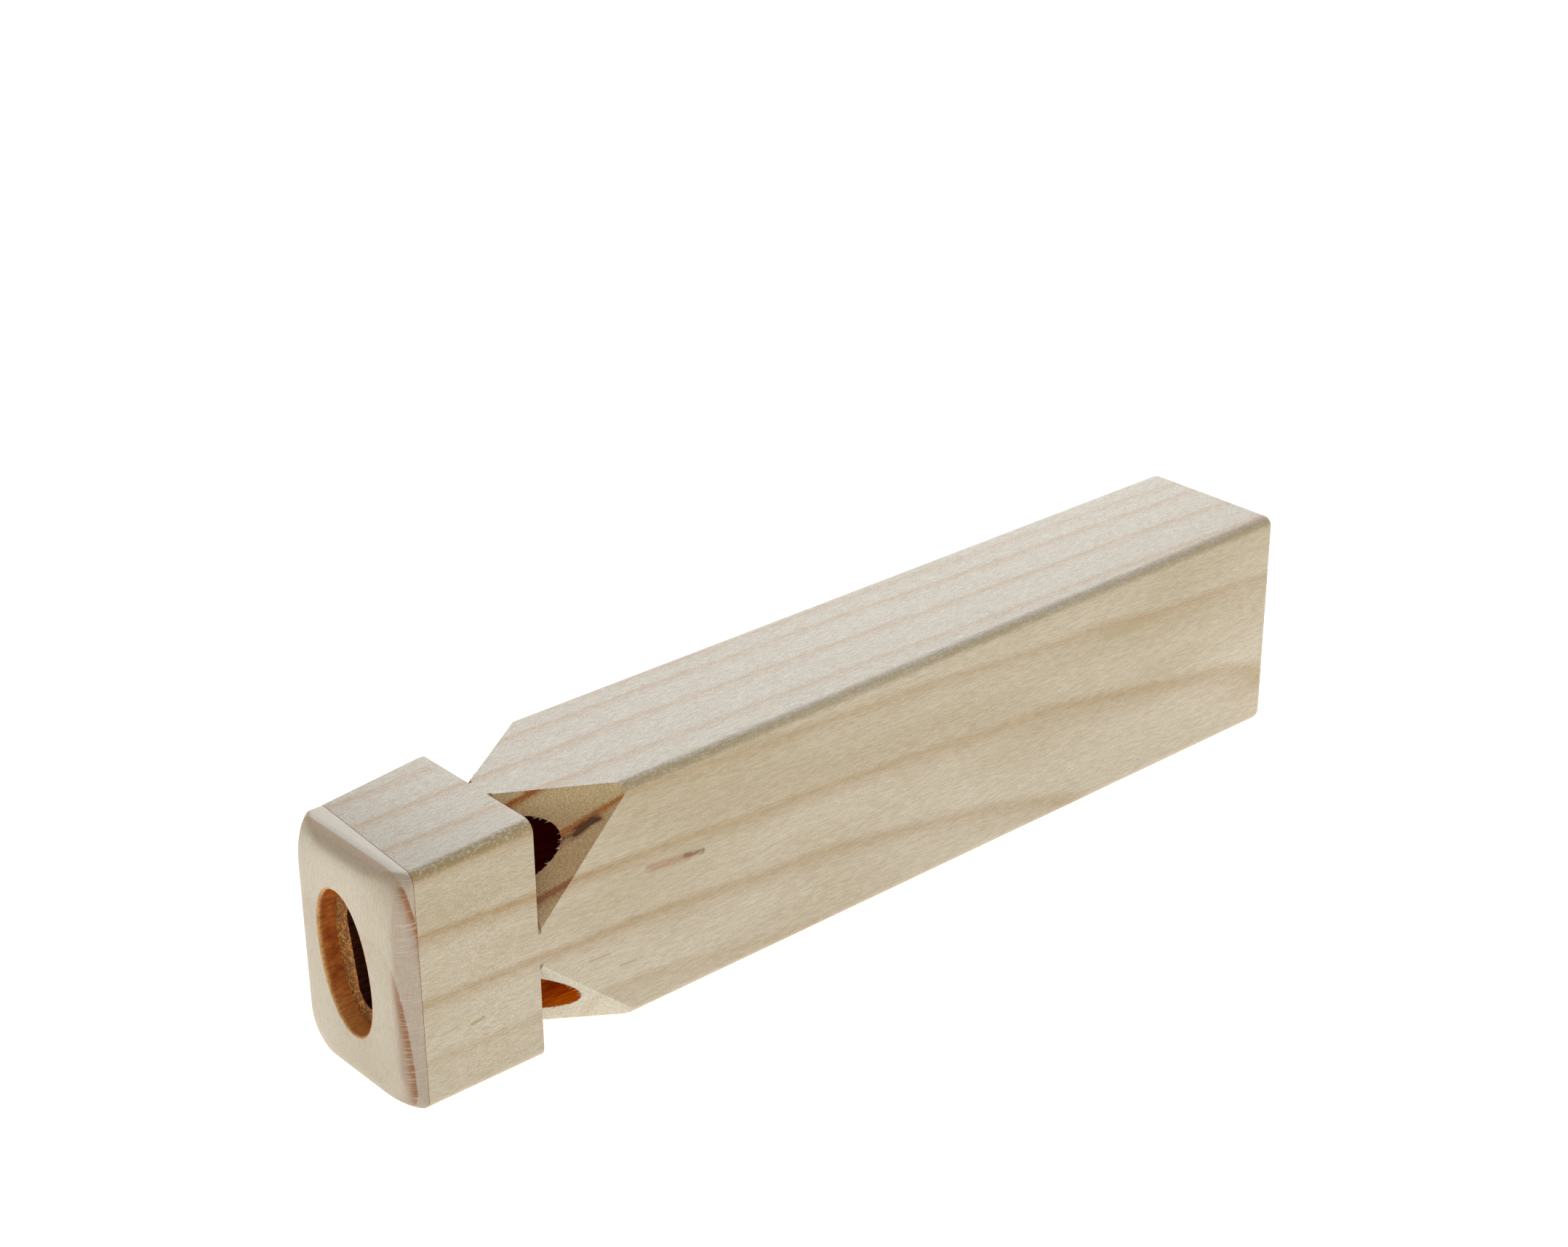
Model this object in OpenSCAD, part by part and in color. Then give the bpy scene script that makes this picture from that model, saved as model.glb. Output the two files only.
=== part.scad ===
// Four-note wooden train whistle.
// A pine block is drilled from its front end with four blind pipes. Four corner notches open the
// pipes behind the head, four flatted dowels leave a thin windway in front of each notch, and a
// rounded mouthpiece with an oval blow hole is glued over the end of the head.
// +X runs from the mouthpiece to the rear end, +Z is up, and the whistle rests on Z = 0.

/* [Block] */
// Width of the block, across the pipes
block_w = 30; // [29:0.5:36]
// Height of the block, from the rest face to the top
block_h = 42.6; // [40:0.2:50]
// Length of the body, from the notch cut to the rear end
body_len = 173.8; // [168:0.2:220]
// Length of the head, from the mouthpiece seam to the notch cut
head_len = 21.7; // [18:0.1:30]
// Radius sanded on the long edges
edge_r = 2; // [1:0.25:3]
// Radius sanded on the edges of the rear end
rear_r = 2; // [1:0.25:4]
// Length of the head that keeps the full section, in front of the notch cut
head_straight = 1; // [1:0.5:6]
// How far the left side of the head leans in at the mouthpiece seam
head_left_taper = 1.4; // [0:0.1:1.6]
// How far the right side of the head leans in at the mouthpiece seam
head_right_taper = 0.2; // [0:0.1:1.2]
// How far the top of the head drops at the mouthpiece seam
head_top_taper = 0.9; // [0:0.1:1.2]

/* [Notches] */
// Width of the neck that is left between the notches
neck_w = 5; // [4:0.25:7]
// Height of the neck that is left between the notches
neck_h = 5.6; // [4:0.2:8]
// Shift of the neck towards the left side at its top, and as far to the right side at its bottom
neck_shift_y = -0.9; // [-1.5:0.1:1.5]
// Shift of the neck upwards on its left side, and as far downwards on its right side
neck_shift_z = 1.2; // [-1.5:0.1:1.5]
// Length of a notch along the corner of the body
notch_len = 19.5; // [14:0.5:24]

/* [Pipes] */
// Diameter of a pipe
bore_d = 11.6; // [9.6:0.1:12]
// Distance of an upper pipe's axis from the middle of the block's width
upper_bore_y = 6.5; // [6.3:0.1:8]
// Distance of a lower pipe's axis from the middle of the block's width
lower_bore_y = 7.5; // [6.3:0.1:8]
// Shift of both lower pipes towards the left side
lower_bore_shift = -0.5; // [-0.8:0.1:0.8]
// Distance of an upper pipe's axis from the middle of the block's height
upper_bore_z = 12.2; // [10:0.1:12.5]
// Distance of a lower pipe's axis from the middle of the block's height
lower_bore_z = 11.7; // [10:0.1:12.5]
// Length of the top right pipe behind the notch cut
pipe_top_right = 160; // [60:1:162]
// Length of the top left pipe behind the notch cut
pipe_top_left = 143; // [60:1:162]
// Length of the bottom right pipe behind the notch cut
pipe_bottom_right = 128; // [60:1:162]
// Length of the bottom left pipe behind the notch cut
pipe_bottom_left = 115; // [60:1:162]

/* [Fipple plugs] */
// Length of a fipple plug
plug_len = 12; // [8:0.5:16]
// Height of the windway over the flat of a plug
windway_h = 1.4; // [0.8:0.1:2]
// Glue gap round a plug
plug_fit = 0.05; // [0.02:0.01:0.1]

/* [Mouthpiece] */
// Thickness of the mouthpiece
cap_t = 4; // [4:0.25:8]
// Radius on the front edges of the mouthpiece
cap_r = 3.6; // [1:0.2:3.8]
// Radius in the corners of the mouthpiece's front face
cap_corner_r = 7; // [2:0.5:9]
// Width of the blow hole
blow_w = 13; // [10:0.25:15]
// Height of the blow hole
blow_h = 24.4; // [20:0.2:28]
// Radius at the two ends of the blow hole
blow_end_r = 4.2; // [3:0.1:4.8]
// Turn of the blow hole about the length of the whistle
blow_turn = 9; // [0:1:15]

/* [Wind slot] */
// Width of the slot that leads from the blow hole to the pipes
slot_w = 7; // [6.5:0.1:9]
// Height of the slot
slot_h = 24; // [20:0.5:26]
// Radius in the corners of the slot
slot_corner_r = 3; // [0.5:0.1:3.2]

/* [Hidden] */
$fn = 64;
past = 1;           // how far a cut runs past the surface it opens
lap = 0.5;          // how far the head's lean runs into its straight stretch
thin = 0.05;        // thickness of the slices that the head and the mouthpiece are hulled from
cap_step = 22.5;    // angle between two slices of the mouthpiece's round front edge

total_len = cap_t + head_len + body_len;
x_front = -total_len / 2;
x_seam = x_front + cap_t;
x_notch = x_seam + head_len;
x_straight = x_notch - head_straight;
x_rear = total_len / 2;
z_mid = block_h / 2;

bore_r = bore_d / 2;
plug_r = bore_r - plug_fit;
slot_depth = head_len - plug_len;

// Each pipe: side of the block, level, distances from the middle of the width and height, length
PIPE_TOP_RIGHT = [-1, 1, upper_bore_y, upper_bore_z, pipe_top_right];
PIPE_TOP_LEFT = [1, 1, upper_bore_y, upper_bore_z, pipe_top_left];
PIPE_BOTTOM_RIGHT = [-1, -1, lower_bore_y - lower_bore_shift, lower_bore_z, pipe_bottom_right];
PIPE_BOTTOM_LEFT = [1, -1, lower_bore_y + lower_bore_shift, lower_bore_z, pipe_bottom_left];
PIPES = [PIPE_TOP_RIGHT, PIPE_TOP_LEFT, PIPE_BOTTOM_RIGHT, PIPE_BOTTOM_LEFT];

// Edges of the neck at a pipe's corner, from the middle of the block
function neck_edge_y(pipe) = neck_w / 2 + pipe[0] * pipe[1] * neck_shift_y;
function neck_edge_z(pipe) = neck_h / 2 + pipe[0] * pipe[1] * neck_shift_z;
// Run of a notch across the width and down the side, at the notch cut
function notch_y(pipe) = block_w / 2 - neck_edge_y(pipe);
function notch_z(pipe) = block_h / 2 - neck_edge_z(pipe);
// Turn of a notch about the length of the whistle, and its depth at the block's corner
function notch_turn(pipe) = atan2(notch_y(pipe), notch_z(pipe));
function notch_depth(pipe) = notch_y(pipe) * cos(notch_turn(pipe));
notch_span = 2 * (block_w + block_h);

// Section of the head at the seam
seam_w = block_w - head_left_taper - head_right_taper;
seam_h = block_h - head_top_taper;
seam_y = (head_right_taper - head_left_taper) / 2;

pine = [0.87, 0.80, 0.64];
pine_cap = [0.85, 0.77, 0.62];
dowel = [0.80, 0.70, 0.52];

// Rectangle with round corners, centred
module round_rect(w, h, r) {
    square([w - 2 * r, h], center = true);
    square([w, h - 2 * r], center = true);
    for (x = [-1, 1], y = [-1, 1])
        translate([x * (w / 2 - r), y * (h / 2 - r)]) circle(r);
}

// Rectangle from x = 0 to x = len, with round corners at its far end
module round_end(len, w, r) {
    translate([0, -w / 2]) square([len - r, w]);
    translate([0, r - w / 2]) square([len, w - 2 * r]);
    for (y = [-1, 1])
        translate([len - r, y * (w / 2 - r)]) circle(r);
}

// Bar along +X from x = 0, with a section of w by h resting on Z = 0
module bar_x(len, w, h, r) {
    translate([0, 0, h / 2]) rotate([90, 0, 90]) linear_extrude(len) round_rect(w, h, r);
}

// Block along +X with round long edges and round edges at its far end
module nosed_bar(len, w, h, long_r, end_r) {
    intersection() {
        bar_x(len, w, h, long_r);
        linear_extrude(h) round_end(len, w, end_r);
        translate([0, w / 2, h / 2]) rotate([90, 0, 0]) linear_extrude(w) round_end(len, h, end_r);
    }
}

// Places its children on a pipe's axis, at the notch cut, with +Z along the whistle
module at_pipe(pipe) {
    translate([x_notch, pipe[0] * pipe[2], z_mid + pipe[1] * pipe[3]]) rotate([0, 90, 0]) children();
}

// Turns what is made for the top left corner to the corner of a pipe
module to_corner(pipe) {
    mirror([0, pipe[0] < 0 ? 1 : 0, 0]) mirror([0, 0, pipe[1] < 0 ? 1 : 0]) children();
}

// Wedge that a pipe's corner notch takes out of the body, made for the top left corner
module notch_wedge(pipe) {
    translate([0, neck_edge_y(pipe), block_h / 2])
        rotate([notch_turn(pipe), 0, 0])
            linear_extrude(notch_span, center = true)
                polygon([[0, 0], 2 * [notch_len, notch_depth(pipe)], [0, 2 * notch_depth(pipe)]]);
}

// Oval prism along +X, drawn with four arcs
module oval_prism(len, w, h, end_r) {
    end_z = h / 2 - end_r;
    side_r = (pow(w / 2, 2) + pow(end_z, 2) - pow(end_r, 2)) / (w - 2 * end_r);
    side_y = side_r - w / 2;
    meet_z = end_z * side_r / (side_r - end_r);
    rotate([0, 90, 0]) {
        for (z = [-1, 1]) translate([z * end_z, 0, 0]) cylinder(r = end_r, h = len);
        intersection() {
            translate([0, side_y, 0]) cylinder(r = side_r, h = len);
            translate([0, -side_y, 0]) cylinder(r = side_r, h = len);
            translate([-meet_z, -w, 0]) cube([2 * meet_z, 2 * w, len]);
        }
    }
}

// Front of the head, which leans in a little towards the seam
module head_front() {
    hull() {
        translate([x_straight, 0, 0]) bar_x(lap, block_w, block_h, edge_r, $fn = 32);
        translate([x_seam, seam_y, 0]) bar_x(thin, seam_w, seam_h, edge_r, $fn = 32);
    }
}

// One slice of the mouthpiece, at an angle along its round front edge
module cap_slice(angle) {
    inset = cap_r * (1 - cos(angle));
    corner_r = edge_r + (cap_corner_r - edge_r) * sin(angle);
    translate([x_front + cap_r * (1 - sin(angle)), seam_y, inset])
        bar_x(thin, seam_w - 2 * inset, seam_h - 2 * inset, corner_r, $fn = 32);
}

// Mouthpiece without its hole: flat at the seam, with a round front edge and round corners
module cap_solid() {
    hull() {
        translate([x_front + cap_r, seam_y, 0])
            bar_x(cap_t - cap_r, seam_w, seam_h, edge_r, $fn = 32);
        for (angle = [cap_step : cap_step : 90]) cap_slice(angle);
    }
}

module body_block() {
    color(pine) difference() {
        union() {
            head_front();
            translate([x_straight, 0, 0])
                nosed_bar(x_rear - x_straight, block_w, block_h, edge_r, rear_r);
        }
        for (pipe = PIPES) {
            translate([x_notch, 0, z_mid]) to_corner(pipe) notch_wedge(pipe);
            at_pipe(pipe) translate([0, 0, -head_len - past])
                cylinder(r = bore_r, h = head_len + past + pipe[4]);
        }
        translate([x_seam - past, 0, z_mid]) rotate([90, 0, 90])
            linear_extrude(slot_depth + past) round_rect(slot_w, slot_h, slot_corner_r);
    }
}

module mouthpiece_cap() {
    color(pine_cap) difference() {
        cap_solid();
        translate([x_front - past, 0, z_mid]) rotate([-blow_turn, 0, 0])
            oval_prism(cap_t + 2 * past, blow_w, blow_h, blow_end_r);
    }
}

// Dowel with a flat that faces the notch
module fipple_plug(pipe) {
    color(dowel) difference() {
        at_pipe(pipe) translate([0, 0, -plug_len]) cylinder(r = plug_r, h = plug_len);
        translate([x_notch - plug_len - past, 0, z_mid]) to_corner(pipe)
            translate([0, pipe[2], pipe[3]]) rotate([notch_turn(pipe), 0, 0])
                translate([0, bore_r - windway_h, -bore_d])
                    cube([plug_len + 2 * past, bore_d, 2 * bore_d]);
    }
}

module fipple_plug_top_right() { fipple_plug(PIPE_TOP_RIGHT); }
module fipple_plug_top_left() { fipple_plug(PIPE_TOP_LEFT); }
module fipple_plug_bottom_right() { fipple_plug(PIPE_BOTTOM_RIGHT); }
module fipple_plug_bottom_left() { fipple_plug(PIPE_BOTTOM_LEFT); }

body_block();
mouthpiece_cap();
fipple_plug_top_right();
fipple_plug_top_left();
fipple_plug_bottom_right();
fipple_plug_bottom_left();
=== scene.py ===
# %% [markdown]
# # A wooden train whistle
#
# The whistle is a pine block with four pipes drilled into it from the front. Four corner notches
# open the pipes, and a rounded mouthpiece is glued over the drilled end. This lesson dresses the
# packed model: it rebuilds the block and the mouthpiece with their small marks of saw, drill and
# sandpaper, and gives every piece a pine or dowel finish that runs through the wood, not only over
# its surface.

# %% Load the packed model
import math
import random
from collections import namedtuple

import bmesh
import bpy
from mathutils import Matrix, Vector


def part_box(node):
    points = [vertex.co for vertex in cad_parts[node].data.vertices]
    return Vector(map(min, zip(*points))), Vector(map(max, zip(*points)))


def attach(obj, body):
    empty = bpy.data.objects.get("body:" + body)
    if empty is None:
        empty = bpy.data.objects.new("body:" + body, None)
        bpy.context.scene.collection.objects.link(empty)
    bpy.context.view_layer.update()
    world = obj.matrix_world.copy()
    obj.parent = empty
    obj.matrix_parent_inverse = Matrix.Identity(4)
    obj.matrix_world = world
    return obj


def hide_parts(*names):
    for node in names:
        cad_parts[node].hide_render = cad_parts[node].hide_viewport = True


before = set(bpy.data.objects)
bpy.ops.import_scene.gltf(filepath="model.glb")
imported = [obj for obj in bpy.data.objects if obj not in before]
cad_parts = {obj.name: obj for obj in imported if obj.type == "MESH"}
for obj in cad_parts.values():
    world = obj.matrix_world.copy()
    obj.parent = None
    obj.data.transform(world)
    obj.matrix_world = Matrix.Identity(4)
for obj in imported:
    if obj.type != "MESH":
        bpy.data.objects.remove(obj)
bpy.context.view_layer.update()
print("packed nodes:", sorted(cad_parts))

# %% [markdown]
# ## Sizes
#
# The packed model gives the outside of each piece, so the lengths that it holds are read from it. What
# it does not hold, such as the length of a pipe, is named where a step first needs it, in millimetres
# times MM.

# %% Sizes
MM = 0.001
body_low, body_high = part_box("body_block")
cap_low, cap_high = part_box("mouthpiece_cap")
X_FRONT = cap_low.x
X_SEAM = cap_high.x
X_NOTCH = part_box("fipple_plug_top_right")[1].x
X_REAR = body_high.x
BLOCK_W = body_high.y - body_low.y
BLOCK_H = body_high.z
Z_MID = BLOCK_H / 2
print("block in mm:", [round(v / MM, 1) for v in (X_REAR - X_SEAM, BLOCK_W, BLOCK_H)])

# %% [markdown]
# ## Pipes and notches
#
# Each pipe is a bore along the block, and a notch at the block's corner opens it. One cut of the notch
# stands square to the length, and the other slopes from its foot back to the corner. A thin neck is
# left between the four notches. Notches that lie across from each other are alike, and their
# neighbours lean a little differently, as the two NECK_SHIFT sizes say. A small class holds what the
# later steps ask of a pipe: its axis, its length and the directions of its notch.

# %% Pipes and notches
NECK_W = 5 * MM
NECK_H = 5.6 * MM
NECK_SHIFT_Y = -0.9 * MM
NECK_SHIFT_Z = 1.2 * MM
NOTCH_LEN = 19.5 * MM


class Pipe:
    """One pipe with its notch: side -1 is right and +1 left, level +1 is top and -1 bottom."""

    def __init__(self, name, side, level, across, up, length):
        self.name = name
        self.axis = Vector((X_NOTCH, side * across, Z_MID + level * up))
        self.length = length
        neck_edge_y = NECK_W / 2 + side * level * NECK_SHIFT_Y
        neck_edge_z = NECK_H / 2 + side * level * NECK_SHIFT_Z
        run_y = BLOCK_W / 2 - neck_edge_y
        run_z = BLOCK_H / 2 - neck_edge_z
        self.root = Vector((X_NOTCH, side * neck_edge_y, Z_MID + level * BLOCK_H / 2))
        self.outward = Vector((0, side * run_z, level * run_y)).normalized()
        self.along = Vector((0, side * run_y, -level * run_z)).normalized()
        self.depth = run_y * run_z / math.hypot(run_y, run_z)

    def plane_x(self, point):
        """Where the sloping plane of the notch lies along X, above a point of the section."""
        return X_NOTCH + (point - self.root).dot(self.outward) * NOTCH_LEN / self.depth


PIPES = [
    Pipe("top_right", side=-1, level=1, across=6.5 * MM, up=12.2 * MM, length=160 * MM),
    Pipe("top_left", side=1, level=1, across=6.5 * MM, up=12.2 * MM, length=143 * MM),
    Pipe("bottom_right", side=-1, level=-1, across=8.0 * MM, up=11.7 * MM, length=128 * MM),
    Pipe("bottom_left", side=1, level=-1, across=7.0 * MM, up=11.7 * MM, length=115 * MM),
]
for pipe in PIPES:
    print("pipe", pipe.name, "notch depth at the corner in mm:", round(pipe.depth / MM, 2))

# %% [markdown]
# ## A helper for node graphs
#
# A finish is a small graph of nodes. Written out one call at a time, such a graph is hard to read,
# so this helper gives each kind of node a short method that returns its output. A number, a colour
# or another node's output can be fed to any input. A number that is the same all over the wood goes
# straight to the shader's own socket.

# %% Helper for node graphs
class NodeGraph:
    """A material under construction. Most methods add one node and return its output."""

    def __init__(self, name):
        self.material = bpy.data.materials.new(name)
        self.material.use_nodes = True
        self.tree = self.material.node_tree
        self.shader = self.tree.nodes["Principled BSDF"].inputs

    def feed(self, socket, value):
        """Links an output to a socket, or sets the socket to a number, a vector or a colour."""
        if isinstance(value, bpy.types.NodeSocket):
            self.tree.links.new(value, socket)
        elif isinstance(value, tuple) and socket.type == "RGBA":
            socket.default_value = (*value, 1)
        else:
            socket.default_value = value

    def node(self, kind, inputs, **settings):
        """Adds a node with its settings, and feeds its inputs, which go by number or by name."""
        node = self.tree.nodes.new("ShaderNode" + kind)
        for setting, value in settings.items():
            setattr(node, setting, value)
        for socket, value in inputs.items():
            self.feed(node.inputs[socket], value)
        return node

    def math(self, operation, first, second=0.0, clamp=False):
        return self.node("Math", {0: first, 1: second}, operation=operation, use_clamp=clamp).outputs[0]

    def add(self, first, second):
        return self.math("ADD", first, second)

    def times(self, first, second):
        return self.math("MULTIPLY", first, second)

    def vector(self, operation, first, second):
        return self.node("VectorMath", {0: first, 1: second}, operation=operation).outputs[0]

    def measure(self, operation, first, second=(0.0, 0.0, 0.0)):
        """A number from vectors: their dot product, or the length of the first."""
        return self.node("VectorMath", {0: first, 1: second}, operation=operation).outputs["Value"]

    def step(self, value, low, high, to_low=0.0, to_high=1.0):
        """A smooth rise from to_low at low to to_high at high."""
        inputs = {0: value, 1: low, 2: high, 3: to_low, 4: to_high}
        return self.node("MapRange", inputs, interpolation_type="SMOOTHSTEP").outputs[0]

    def mix(self, share, first, second, blend="MIX"):
        """One colour laid over another."""
        inputs = {0: share, 6: first, 7: second}
        return self.node("Mix", inputs, data_type="RGBA", blend_type=blend).outputs[2]

    def between(self, share, first, second):
        """A number between two others."""
        return self.node("Mix", {0: share, 2: first, 3: second}, data_type="FLOAT").outputs[0]

    def ramp(self, value, stops):
        """A curve through stops of (place from 0 to 1, height)."""
        node = self.node("ValToRGB", {0: value})
        elements = node.color_ramp.elements
        while len(elements) < len(stops):
            elements.new(0.5)
        for element, (place, height) in zip(elements, stops):
            element.position = place
            element.color = (height, height, height, 1)
        return node.outputs[0]


print("node methods:", [name for name in vars(NodeGraph) if not name.startswith("_")])

# %% [markdown]
# ## A helper for wood
#
# Wood is read from the place in the solid, so a finish starts with Object coordinates, turned into
# millimetres. Nearly every mark in it is a noise that is stretched along the grain. Such a noise is
# kept as a named Grain: its cells per millimetre along X, Y and Z, how many finer layers it has, how
# strong they are, and a shift that keeps it apart from the others.

# %% Helper for wood
Grain = namedtuple("Grain", "per_mm detail roughness shift", defaults=(2.0, 0.5, 0.0))
STREAK_CORE = 0.2


class Finish(NodeGraph):
    """A finish that runs through the wood, with places in millimetres."""

    def __init__(self, name):
        super().__init__(name)
        place = self.node("TexCoord", {}).outputs["Object"]
        self.place = self.vector("MULTIPLY", place, (1 / MM, 1 / MM, 1 / MM))
        self.x, self.y, self.z = self.node("SeparateXYZ", {0: self.place}).outputs

    def noise(self, grain):
        """Cloudy noise from 0 to 1."""
        moved = self.vector("ADD", self.place, (grain.shift, grain.shift, grain.shift))
        cells = self.vector("MULTIPLY", moved, grain.per_mm)
        inputs = {"Vector": cells, "Scale": 1, "Detail": grain.detail, "Roughness": grain.roughness}
        return self.node("TexNoise", inputs).outputs["Fac"]

    def sway(self, grain, reach):
        """Noise round 0 that is so many millimetres high in all."""
        return self.times(self.add(self.noise(grain), -0.5), reach)

    def streak(self, start, end, reach):
        """1 along a line through the wood, falling to 0 at a reach from it."""
        line = Vector(end) - Vector(start)
        away = self.vector("SUBTRACT", self.place, start)
        along = self.measure("DOT_PRODUCT", away, tuple(line / line.length_squared))
        along = self.math("MAXIMUM", self.math("MINIMUM", along, 1.0), 0.0)
        same = self.node("CombineXYZ", {0: along, 1: along, 2: along}).outputs[0]
        nearest = self.vector("MULTIPLY", same, tuple(line))
        beside = self.measure("LENGTH", self.vector("SUBTRACT", away, nearest))
        return self.step(beside, reach, STREAK_CORE * reach)

    def facing(self):
        """How far a face looks along +X, +Y and +Z."""
        normal = self.node("NewGeometry", {}).outputs["Normal"]
        return self.node("SeparateXYZ", {0: normal}).outputs

    def surface(self, colour, roughness, gloss):
        """Gives the shader its colour, its roughness and its share of mirrored light."""
        self.feed(self.shader["Base Color"], colour)
        self.feed(self.shader["Roughness"], roughness)
        self.feed(self.shader["Specular IOR Level"], gloss)

    def bump(self, height, distance_mm, strength):
        """Fine relief: height 1 stands so many millimetres above height 0."""
        inputs = {"Strength": strength, "Distance": distance_mm * MM, "Height": height}
        self.feed(self.shader["Normal"], self.node("Bump", inputs).outputs[0])


print("wood methods:", [name for name in vars(Finish) if not name.startswith("_")])

# %% [markdown]
# ## Pine that runs through the block
#
# The block is one piece of pine, so the same growth rings show on its top, its sides and the sloping
# planes of the notches. Painting stripes on each face would never line up. Instead the rings are
# worked out in the solid: a ring is a leaning, slightly bent sheet in the wood, and each cut shows
# where it crosses. The number that says which sheet a point lies in is read from its place: height,
# plus the lean times the distance from the right side, plus the slow rise of the sheets towards the
# rear, which is steepest for the lowest. Latewood darkens slowly up to the ring's edge and stops there
# sharply.

# %% Growth rings of the block
RIGHT_Y = -BLOCK_W / 2 / MM
BLOCK_LEN_MM = (X_REAR - X_SEAM) / MM
RING_LEAN = 1.29
RISE_BEND = 1.35
RISE_ALL = 7.0
RISE_LOWEST = 22.0
RISE_FADE = 0.05
RING_WAVE, RING_WAVE_MM = Grain((0.025, 0.06, 0.06), 1.0), 2.6
RING_FUZZ, RING_FUZZ_MM = Grain((0.7, 3.2, 3.2), 3.0, 0.6), 1.3
RING_FADING = Grain((0.02, 0.05, 0.05), 1.0, 0.5, 77.0)
RING_SCALE = 90.0
RING_SHAPE = [(-3.6, 0.0), (-1.6, 0.45), (-0.6, 1.0), (0.6, 0.0)]
RINGS = [(9.5, 0.4), (20.1, 0.9), (31.1, 1.0), (42.5, 1.0), (54.3, 0.85), (65.7, 0.9), (75.3, 0.75),
         (81.5, 0.5)]


def latewood_bands(pine, sheet, rings, shape, scale):
    """Bands of latewood: each ring of (sheet, strength) has one shape of (offset, share)."""
    stops = []
    for middle, strength in rings:
        stops += [((middle + offset) / scale, share * strength) for offset, share in shape]
    return pine.ramp(pine.math("DIVIDE", sheet, scale, clamp=True), stops)


def block_rings(pine):
    """Strength of the latewood, from 0 in earlywood to about 1 at the edge of a ring."""
    sheet = pine.add(pine.z, pine.times(pine.add(pine.y, -RIGHT_Y), RING_LEAN))
    along = pine.math("DIVIDE", pine.add(pine.x, -X_SEAM / MM), BLOCK_LEN_MM, clamp=True)
    fan = pine.math("EXPONENT", pine.times(sheet, -RISE_FADE))
    most = pine.add(pine.times(fan, RISE_LOWEST), RISE_ALL)
    rise = pine.times(pine.math("POWER", along, RISE_BEND), most)
    sway = pine.add(pine.sway(RING_WAVE, RING_WAVE_MM), pine.sway(RING_FUZZ, RING_FUZZ_MM))
    sheet = pine.add(pine.add(sheet, rise), sway)
    bands = latewood_bands(pine, sheet, RINGS, RING_SHAPE, RING_SCALE)
    return pine.times(bands, pine.step(pine.noise(RING_FADING), 0.3, 0.7, 0.75, 1.05))


print("rings in the block:", len(RINGS))

# %% [markdown]
# ## Tone of the sanded block
#
# Sanded pine is pale. The top is paler than the sides, as painted sheen, and the sides grow paler
# towards the ground, as painted light from the glowing floor.
# The rings are strongest on the head and fade along the body, so their share is read from X.

# %% Tone of the sanded block
EARLYWOOD = (0.59, 0.50, 0.345)
# The pale tone is random paler wood, and also painted light from the floor low on the sides.
EARLYWOOD_PALE = (0.705, 0.625, 0.49)
# The top tones are painted sheen: paler and greyer than the sides.
EARLYWOOD_TOP_SHEEN = (0.65, 0.605, 0.53)
LATEWOOD = (0.495, 0.35, 0.185)
LATEWOOD_TOP_SHEEN = (0.56, 0.39, 0.25)
PALE_CLOUDS = Grain((0.02, 0.09, 0.09))
# Painted floor light: the sides grow paler from the first height down to the second.
FLOOR_LIGHT_FROM_Z, FLOOR_LIGHT_FULL_Z = 34.0, 2.0
RINGS_STRONG_X, RINGS_FAINT_X = -72.0, -30.0
RINGS_ON_HEAD, RINGS_ON_BODY, RINGS_ON_TOP = 1.05, 0.68, 0.72


def block_tone(pine, rings, face_z):
    """Earlywood and latewood of the sanded faces, with painted sheen on the top and painted floor light
    low on the sides.
    """
    # Painted sheen on the faces that look up.
    top = pine.step(face_z, 0.5, 0.98)
    clouds = pine.times(pine.step(pine.noise(PALE_CLOUDS), 0.35, 0.7), 0.6)
    # Random pale clouds, plus painted floor light that grows towards the ground.
    pale = pine.add(clouds, pine.step(pine.z, FLOOR_LIGHT_FROM_Z, FLOOR_LIGHT_FULL_Z, 0.0, 0.6))
    early = pine.mix(top, pine.mix(pale, EARLYWOOD, EARLYWOOD_PALE), EARLYWOOD_TOP_SHEEN)
    late = pine.mix(top, LATEWOOD, LATEWOOD_TOP_SHEEN)
    on_sides = pine.step(pine.x, RINGS_STRONG_X, RINGS_FAINT_X, RINGS_ON_HEAD, RINGS_ON_BODY)
    shown = pine.between(top, on_sides, RINGS_ON_TOP)
    return pine.mix(pine.times(rings, shown), early, late)


print("earlywood and latewood of the sides:", EARLYWOOD, LATEWOOD)

# %% [markdown]
# ## Fuzz, resin and single marks
#
# Sandpaper leaves fine fuzz along the grain, and short dark dashes show where the resin canals were
# cut along. A few single marks, such as the streak of pitch on the right side, are laid in as short
# lines through the wood. Each one has a start, an end, a reach, a colour and a strength.

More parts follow.
